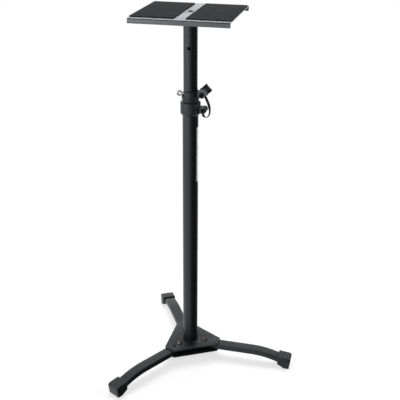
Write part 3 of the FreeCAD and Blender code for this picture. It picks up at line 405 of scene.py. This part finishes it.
def hex_bar(name, flats, low, high, centre, chamfer):
    """An upright hexagon bar whose corners are turned off at both ends."""
    height, middle, corner_radius = high - low, (low + high) / 2, flats / 2 / math.cos(math.pi / 6)
    bpy.ops.object.select_all(action="DESELECT")
    bpy.ops.mesh.primitive_cylinder_add(vertices=6, radius=corner_radius, depth=height,
                                        location=(*centre, middle), rotation=(0, 0, math.pi / 6))
    bar = bpy.context.object
    bar.name = name
    bpy.ops.object.transform_apply(location=True, rotation=True, scale=True)
    bpy.ops.mesh.primitive_cylinder_add(vertices=72, radius=corner_radius * TURNED_OFF, depth=height,
                                        location=(*centre, middle))
    turning = bpy.context.object
    bpy.ops.object.transform_apply(location=True)
    soften(turning, chamfer, sharper_than=60, edge_slot=-1)
    combine(bar, turning, "INTERSECT")
    return bar


zinc_steel = plated_steel("zinc_steel", (0.125, 0.115, 0.112), (0.175, 0.162, 0.158), (0.40, 0.55),
                          rim=(0.2, 0.2, 0.2))
plug_steel = plated_steel("plug_steel", (0.30, 0.30, 0.30), (0.42, 0.42, 0.42), (0.40, 0.55))
black_steel = mottled("black_steel", (0.007, 0.007, 0.007), (0.013, 0.013, 0.013), (0.003, 4.0),
                      (0.40, 0.55), (0.001, 2.0), Specular_IOR_Level=0.15)
white_nylon = mottled("white_nylon", (0.62, 0.62, 0.58), (0.72, 0.72, 0.68), (0.003, 2.0),
                      (0.40, 0.52), (0.001, 2.0), Specular_IOR_Level=0.4)
dress(zinc_steel, "leg_pivot_bolts", "hub_washers", "base_washer", "knob_washer")
dress(plug_steel, "tube_base_plug", "pole_top_plug", "leg_pivot_sleeves")
dress(black_steel, "leg_detents")
lock_nuts = []
for leg_turn in LEG_TURNS.values():
    nut_spot = Matrix.Rotation(math.radians(leg_turn), 3, "Z") @ Vector((PIVOT_RADIUS, 0, 0))
    nut = hex_bar("lock_nut", NUT_FLATS, NUT_LOW, NUT_HIGH, nut_spot.xy, NUT_CHAMFER)
    cut_round(nut, NUT_BORE, (*nut_spot.xy, NUT_LOW))
    nut.data.materials.append(zinc_steel)
    bpy.ops.object.select_all(action="DESELECT")
    bpy.ops.mesh.primitive_torus_add(major_radius=RING_RADIUS, minor_radius=RING_THICK, major_segments=48,
                                     minor_segments=10, location=(*nut_spot.xy, NUT_LOW + RING_SUNK))
    nylon_ring = bpy.context.object
    bpy.ops.object.transform_apply(location=True)
    nylon_ring.data.materials.append(white_nylon)
    lock_nuts += [nut, nylon_ring]
take(lock_nuts[0])
for piece in lock_nuts:
    piece.select_set(True)
bpy.ops.object.join()
lock_nuts[0].name = "pivot_lock_nuts"
fit(lock_nuts[0], "base", "zinc_steel", "leg_pivot_nuts", smooth=25)

# Base bolt: the hexagon-headed bolt, of dull zinc-plated steel, that draws the plug of the lower tube
# down onto the hub. Its head is chamfered, and a plain washer lies between the head and the hub.
BOLT_LOW, BOLT_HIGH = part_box("base_bolt")[0].z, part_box("base_bolt")[1].z
HEAD_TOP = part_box("base_washer")[0].z
BOLT_FLATS, BOLT_CHAMFER = 0.017, 0.0014
SHANK_RADIUS, SHANK_SUNK, SHANK_EDGE = 0.005, 0.001, 0.0008
base_bolt = hex_bar("base_bolt_turned", BOLT_FLATS, BOLT_LOW, HEAD_TOP, (0, 0), BOLT_CHAMFER)
bpy.ops.object.select_all(action="DESELECT")
bpy.ops.mesh.primitive_cylinder_add(vertices=48, radius=SHANK_RADIUS, depth=BOLT_HIGH - HEAD_TOP + SHANK_SUNK,
                                    location=(0, 0, (BOLT_HIGH + HEAD_TOP - SHANK_SUNK) / 2))
base_shank = bpy.context.object
bpy.ops.object.transform_apply(location=True)
soften(base_shank, SHANK_EDGE, sharper_than=60, edge_slot=-1)
combine(base_bolt, base_shank, "UNION")
fit(base_bolt, "base", "zinc_steel", "base_bolt", finishes=(zinc_steel,), smooth=25)

# Tubes of the pole: drawn steel in the same satin black coat, the upper one cross-drilled for the pin.
# The nylon bush at the foot of the upper tube guides it in the lower one.
tube_coat = powder_coat("tube_coat", (0.004, 0.0052, 0.0056), (0.006, 0.0074, 0.0079), specular=0.65)
dress(tube_coat, "lower_tube", "upper_tube")
# Dark nylon for the glide bush, and for the wiper ring, whose darkness there is painted shade.
dark_nylon_and_painted_shade = mottled("dark_nylon_and_painted_shade", (0.020, 0.020, 0.020), (0.034, 0.034, 0.034), (0.005, 2.0),
                     (0.42, 0.55), (0.001, 2.0), Specular_IOR_Level=0.35)
dress(dark_nylon_and_painted_shade, "pole_glide_bush")

# Sticker: a plain white film, cut with rounded corners and stuck round the right side of the lower tube.
# It is left blank.
LABEL_RADIUS, LABEL_HALF_ARC = 0.0201, math.radians(24)
LABEL_LOW, LABEL_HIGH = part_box("blank_label")[0].z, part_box("blank_label")[1].z
LABEL_CORNER, LABEL_THICK, LABEL_STRIPS = 0.002, 0.00015, 24
label_width, label_middle = 2 * LABEL_RADIUS * LABEL_HALF_ARC, (LABEL_LOW + LABEL_HIGH) / 2
bpy.ops.object.select_all(action="DESELECT")
bpy.ops.mesh.primitive_plane_add(size=1)
label = bpy.context.object
label.name = "label_film"
label.scale = (label_width, LABEL_HIGH - LABEL_LOW, 1)
bpy.ops.object.transform_apply(scale=True)
bpy.ops.object.mode_set(mode="EDIT")
bpy.ops.mesh.select_all(action="SELECT")
bpy.ops.mesh.bevel(offset=LABEL_CORNER, segments=6, affect="VERTICES")
for cut in range(1 - LABEL_STRIPS // 2, LABEL_STRIPS // 2):
    bpy.ops.mesh.select_all(action="SELECT")
    bpy.ops.mesh.bisect(plane_co=(label_width * cut / LABEL_STRIPS, 0, 0), plane_no=(1, 0, 0))
bpy.ops.object.mode_set(mode="OBJECT")
for vertex in label.data.vertices:
    angle, height = vertex.co.x / LABEL_RADIUS, vertex.co.y
    vertex.co = (LABEL_RADIUS * math.cos(angle), LABEL_RADIUS * math.sin(angle), label_middle + height)
work(label, "SOLIDIFY", thickness=LABEL_THICK, offset=1)
label_film = mottled("label_film", (0.74, 0.76, 0.75), (0.82, 0.84, 0.83), (0.02, 4.0),
                     (0.16, 0.26), (0.003, 2.0), Specular_IOR_Level=0.9)
fit(label, "base", "label_paper", "blank_label", finishes=(label_film,))

# Clamp collar: a split aluminium casting on the end of the lower tube, black coated, with a clamp boss at
# the rim and a smaller boss at the ring. Its cast edges are rounded.
COLLAR_EDGE = 0.0007
cast_coat = powder_coat("cast_coat", (0.021, 0.0255, 0.0300), (0.028, 0.0335, 0.0390),
                        peel=0.0014, height=0.0001)
cast_coat_edge = powder_coat("cast_coat_edge", (0.020, 0.0222, 0.0262), (0.030, 0.0325, 0.0370))
collar = cad_copy("clamp_collar", "collar_casting")
soften(collar, COLLAR_EDGE, segments=3)
fit(collar, "base", "collar_casting", "clamp_collar", finishes=(cast_coat, cast_coat_edge))

# Wiper ring: a moulded dark nylon ring pressed onto the collar's rim, open at the cut-away. Its dark
# band is painted shade: it stands where the gap between the rim and the sliding pole lies in shadow.
SHADE_RING_EDGE = 0.0005
shade_ring = cad_copy("wiper_ring", "painted_shade_ring")
soften(shade_ring, SHADE_RING_EDGE)
fit(shade_ring, "base", "inner_plastic", "wiper_ring", finishes=(dark_nylon_and_painted_shade, dark_nylon_and_painted_shade))

# Collar screw and clamp bolt: blackened steel socket-head screws that draw the two bosses together.
# The lower one has a zinc-plated nut, and the upper one carries the knob on its rear end.
SCREW_EDGE, SCREW_KEY, SCREW_KEY_DEPTH = 0.0006, 0.005, 0.0026


def socket_in(piece, flats, depth, face, into):
    """Sinks a hexagon socket into the middle of a screw's head."""
    bpy.ops.object.select_all(action="DESELECT")
    bpy.ops.mesh.primitive_cylinder_add(vertices=6, radius=flats / 2 / math.cos(math.pi / 6), depth=2 * depth)
    key = bpy.context.object
    key.data.transform(Matrix.Translation(face) @ Vector(into).to_track_quat("Z", "Y").to_matrix().to_4x4())
    combine(piece, key)


for screw_node, axis_x, axis_z, head_face in (
    ("collar_screw", 0.035, 0.719, -0.015),
    ("clamp_bolt", 0.031, 0.759, -0.019),
):
    screw = cad_copy(screw_node, screw_node + "_turned")
    soften(screw, SCREW_EDGE)
    socket_in(screw, SCREW_KEY, SCREW_KEY_DEPTH, (axis_x, head_face, axis_z), (0, 1, 0))
    fit(screw, "base", "black_steel", screw_node, finishes=(black_steel, black_steel), smooth=30)
dress(zinc_steel, "collar_nut")

# Knob: a four-cornered plastic moulding on the clamp bolt's rear end, with a sunk cap in its face
# and a brass insert in its neck.
KNOB_CORNER, KNOB_WAIST, KNOB_TURNED = 0.0165, 0.0110, math.radians(2)
KNOB_HEAD, KNOB_NECK_RADIUS, KNOB_BORE, KNOB_CAP = 0.012, 0.0085, 0.0061, 0.0080
KNOB_ROUND, KNOB_EDGE, KNOB_BORE_DEPTH, KNOB_CAP_DEPTH = 0.0022, 0.0008, 0.016, 0.0012
KNOB_WASHER_RADIUS, OVERLAP = 0.010, 0.001
CLAMP_X = (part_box("knob_insert")[0].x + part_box("knob_insert")[1].x) / 2
CLAMP_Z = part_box("knob_washer")[0].z + KNOB_WASHER_RADIUS
KNOB_FRONT, KNOB_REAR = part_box("clamp_knob")[0].y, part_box("clamp_knob")[1].y


def draw_out(outline, corner, corner_steps, way):
    """Rounds the corners of a flat outline and draws it out into a solid."""
    take(outline)
    bpy.ops.object.mode_set(mode="EDIT")
    bpy.ops.mesh.select_all(action="SELECT")
    bpy.ops.mesh.bevel(offset=corner, segments=corner_steps, affect="VERTICES")
    bpy.ops.mesh.select_all(action="SELECT")
    bpy.ops.mesh.extrude_region_move(TRANSFORM_OT_translate={"value": way})
    bpy.ops.mesh.select_all(action="SELECT")
    bpy.ops.mesh.normals_make_consistent(inside=False)
    bpy.ops.object.mode_set(mode="OBJECT")


knob_plastic = mottled("knob_plastic", (0.006, 0.006, 0.006), (0.010, 0.010, 0.010), (0.008, 4.0),
                       (0.42, 0.56), (0.002, 2.0), (0.0006, 0.00005, 0.5), Specular_IOR_Level=0.2)
bpy.ops.object.select_all(action="DESELECT")
bpy.ops.mesh.primitive_circle_add(vertices=8, radius=1, fill_type="NGON")
knob = bpy.context.object
knob.name = "knob_moulding"
for number, vertex in enumerate(knob.data.vertices):
    corner_reach = KNOB_WAIST if number % 2 else KNOB_CORNER
    corner_angle = number * math.pi / 4 + KNOB_TURNED
    vertex.co = (corner_reach * math.sin(corner_angle), 0, corner_reach * math.cos(corner_angle))
knob.data.transform(Matrix.Translation((CLAMP_X, KNOB_REAR - KNOB_HEAD, CLAMP_Z)))
draw_out(knob, KNOB_ROUND, 5, (0, KNOB_HEAD, 0))
soften(knob, KNOB_EDGE, segments=3, sharper_than=40)
for radius, start, end, operation in (
    (KNOB_NECK_RADIUS, KNOB_FRONT, KNOB_REAR - KNOB_HEAD + OVERLAP, "UNION"),
    (KNOB_BORE, KNOB_FRONT - OVERLAP, KNOB_FRONT + KNOB_BORE_DEPTH, "DIFFERENCE"),
    (KNOB_CAP, KNOB_REAR - KNOB_CAP_DEPTH, KNOB_REAR + OVERLAP, "DIFFERENCE"),
):
    bpy.ops.object.select_all(action="DESELECT")
    bpy.ops.mesh.primitive_cylinder_add(vertices=64, radius=radius, depth=end - start,
                                        rotation=(math.pi / 2, 0, 0),
                                        location=(CLAMP_X, (start + end) / 2, CLAMP_Z))
    combine(knob, bpy.context.object, operation)
fit(knob, "knob", "knob_plastic", "clamp_knob", finishes=(knob_plastic, knob_plastic))
insert_brass = plated_steel("insert_brass", (0.55, 0.40, 0.16), (0.70, 0.53, 0.24), (0.30, 0.42))
dress(insert_brass, "knob_insert")

# Tether strap: a flat moulded rubber strap, 7 mm wide, from the eyelet on the knob's neck to the
# tab at the collar screw. It hangs in a free loop and twists so that its thin side takes the bend.
STRAP_ROUTE = (
    (0.0325, 0.0210, 0.7472), (0.0365, 0.0205, 0.7390), (0.0425, 0.0175, 0.7285), (0.0465, 0.0135, 0.7160),
    (0.0470, 0.0090, 0.7045), (0.0415, 0.0045, 0.6970), (0.0345, 0.0015, 0.6990), (0.0315, 0.0000, 0.7065),
)
STRAP_WIDTH, STRAP_THICK, STRAP_EDGE, ACROSS_STEPS = 0.0068, 0.0016, 0.0004, 5
TWIST, TWIST_START, TWIST_SPAN, UNTWIST_START, UNTWIST_SPAN = math.radians(72), 0.12, 0.38, 0.80, 0.20
route_curve = bpy.data.curves.new("strap_route", "CURVE")
route_curve.dimensions = "3D"
route_spline = route_curve.splines.new("NURBS")
route_spline.points.add(len(STRAP_ROUTE) - 1)
for control, corner in zip(route_spline.points, STRAP_ROUTE):
    control.co = (*corner, 1)
route_spline.order_u = 3
route_spline.use_endpoint_u = True
route_spline.resolution_u = 10
route = bpy.data.objects.new("strap_route", route_curve)
scene.collection.objects.link(route)
bpy.context.view_layer.update()
route_mesh = bpy.data.meshes.new_from_object(route)
strap_line = [vertex.co.copy() for vertex in route_mesh.vertices]
bpy.data.objects.remove(route)


def eased(share, start, span):
    """Rises smoothly from 0 to 1 over a span of the strap's length."""
    into = min(max((share - start) / span, 0), 1)
    return into * into * (3 - 2 * into)


def strap_twist(share):
    """Angle between the strap's width and its eyelet's plane, at a share of its length."""
    return TWIST * (eased(share, TWIST_START, TWIST_SPAN) - eased(share, UNTWIST_START, UNTWIST_SPAN))


last_point = len(strap_line) - 1
bpy.ops.object.select_all(action="DESELECT")
bpy.ops.mesh.primitive_grid_add(x_subdivisions=ACROSS_STEPS - 1, y_subdivisions=last_point, size=1)
strap = bpy.context.object
strap.name = "strap_ribbon"
for number, vertex in enumerate(strap.data.vertices):
    along, across = divmod(number, ACROSS_STEPS)
    before, after = strap_line[max(along - 1, 0)], strap_line[min(along + 1, last_point)]
    heading_on = (after - before).normalized()
    behind = (Vector((0, 1, 0)) - heading_on * heading_on.y).normalized()
    flat = heading_on.cross(behind)
    turn = strap_twist(along / last_point)
    width_way = flat * math.cos(turn) + behind * math.sin(turn)
    vertex.co = strap_line[along] + width_way * STRAP_WIDTH * (across / (ACROSS_STEPS - 1) - 0.5)
work(strap, "SOLIDIFY", thickness=STRAP_THICK, offset=0)
soften(strap, STRAP_EDGE, sharper_than=50, edge_slot=-1)
strap_rubber = mottled("strap_rubber", (0.010, 0.010, 0.010), (0.020, 0.020, 0.020), (0.006, 4.0),
                       (0.45, 0.60), (0.002, 2.0), (0.0007, 0.00006, 0.5), Specular_IOR_Level=0.3)
fit(strap, "base", "strap_rubber", "tether_strap", finishes=(strap_rubber,))
dress(strap_rubber, "strap_eyelet", "strap_tab")

# Locking pin: a bright plated steel pin with a forged eye, pushed through the pole in the cut-away of the
# collar's rim. Nothing holds it but its fit, and the eye is there to draw it.
PIN_EDGE = 0.0008
pin_chrome = plated_steel("pin_chrome", (0.22, 0.22, 0.23), (0.34, 0.34, 0.35), (0.10, 0.20),
                          rim=(0.05, 0.05, 0.05))
pin = cad_copy("locking_pin", "pin_forging")
soften(pin, PIN_EDGE, segments=3)
fit(pin, "pin", "pin_chrome", "locking_pin", finishes=(pin_chrome, pin_chrome))

# Platform: folded sheet steel with grey textured powder coat, its front and rear edges rolled under,
# and a groove along each lip below the thin edge of the plate. The rounded edges get a lighter copy
# of the coat as painted highlight, and the inside of the groove is painted dark as painted shade.
PLATE_TOP, LIP_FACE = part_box("top_plate")[1].z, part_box("top_plate")[1].y
GROOVE_TOP, GROOVE_FOOT, GROOVE_BACK = PLATE_TOP - 0.0005, PLATE_TOP - 0.0021, LIP_FACE - 0.0020
PLATE_EDGE, GROOVE_SHADE_SLOT = 0.0002, 2
plate_coat = powder_coat("plate_coat", (0.290, 0.302, 0.325), (0.330, 0.343, 0.368), rough=(0.30, 0.40),
                         peel=0.0008, height=0.00012)
# A lighter copy of the plate coat for the rounded edges: painted highlight along them.
plate_coat_painted_highlight = powder_coat("plate_coat_painted_highlight", (0.34, 0.35, 0.37), (0.39, 0.40, 0.42), rough=(0.30, 0.40))
# Near-black coat for the inside of the groove: painted shade where the groove lies in shadow.
groove_painted_shade = powder_coat("groove_painted_shade", (0.010, 0.011, 0.012), (0.016, 0.017, 0.018), specular=0.2)
plate = cad_copy("top_plate", "platform_plate")
soften(plate, PLATE_EDGE)
# Faces inside the groove take the painted shade.
for face in plate.data.polygons:
    if abs(face.center.y) > GROOVE_BACK and GROOVE_FOOT < face.center.z < GROOVE_TOP:
        face.material_index = GROOVE_SHADE_SLOT
fit(plate, "pole", "plate_coat", "top_plate", finishes=(plate_coat, plate_coat_painted_highlight, groove_painted_shade))

# Platform bolt: one blackened dome-headed steel screw with a hexagon socket, in the bare strip between
# the mats. It goes down into the plug of the upper tube and holds the plate.
PLATE_KEY, PLATE_KEY_DEPTH = 0.006, 0.0016
plate_bolt = cad_copy("plate_bolt", "platform_bolt")
socket_in(plate_bolt, PLATE_KEY, PLATE_KEY_DEPTH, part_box("plate_bolt")[1] * Vector((0, 0, 1)), (0, 0, -1))
fit(plate_bolt, "pole", "black_steel", "plate_bolt", finishes=(black_steel,), smooth=30)

# Grip mats: two sheets of black closed-cell foam, cut with rounded corners and glued to the plate.
# Their top edges are soft, and fine pores make them matt.
MAT_CORNER, MAT_EDGE = 0.003, 0.0009
PORES_PER_METRE, PORE_DEPTH = 900, 0.0003
mat_foam, foam_tree, foam_shader, foam_place = new_finish("mat_foam", Specular_IOR_Level=0.02)
colour_by(foam_tree, foam_shader, grains(foam_tree, foam_place, 0.02, 5.0),
          (0.033, 0.034, 0.035), (0.041, 0.042, 0.043))
roughness_by(foam_tree, foam_shader, grains(foam_tree, foam_place, 0.003), 0.85, 0.97)
pores = foam_tree.nodes.new("ShaderNodeTexVoronoi")
pores.inputs["Scale"].default_value = PORES_PER_METRE
foam_tree.links.new(foam_place, pores.inputs["Vector"])
relief_by(foam_tree, foam_shader, pores.outputs["Distance"], PORE_DEPTH, 0.7)
for mat_side in ("left", "right"):
    mat_low, mat_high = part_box(f"grip_mat_{mat_side}")
    mat_middle = (mat_low + mat_high) / 2
    bpy.ops.object.select_all(action="DESELECT")
    bpy.ops.mesh.primitive_plane_add(size=1, location=(mat_middle.x, mat_middle.y, mat_low.z))
    mat = bpy.context.object
    mat.name = f"mat_{mat_side}_foam"
    mat.scale = (mat_high.x - mat_low.x, mat_high.y - mat_low.y, 1)
    bpy.ops.object.transform_apply(location=True, scale=True)
    draw_out(mat, MAT_CORNER, 6, (0, 0, mat_high.z - mat_low.z))
    soften(mat, MAT_EDGE, segments=4, sharper_than=50, edge_slot=-1)
    fit(mat, "pole", "mat_foam", f"grip_mat_{mat_side}", finishes=(mat_foam,))
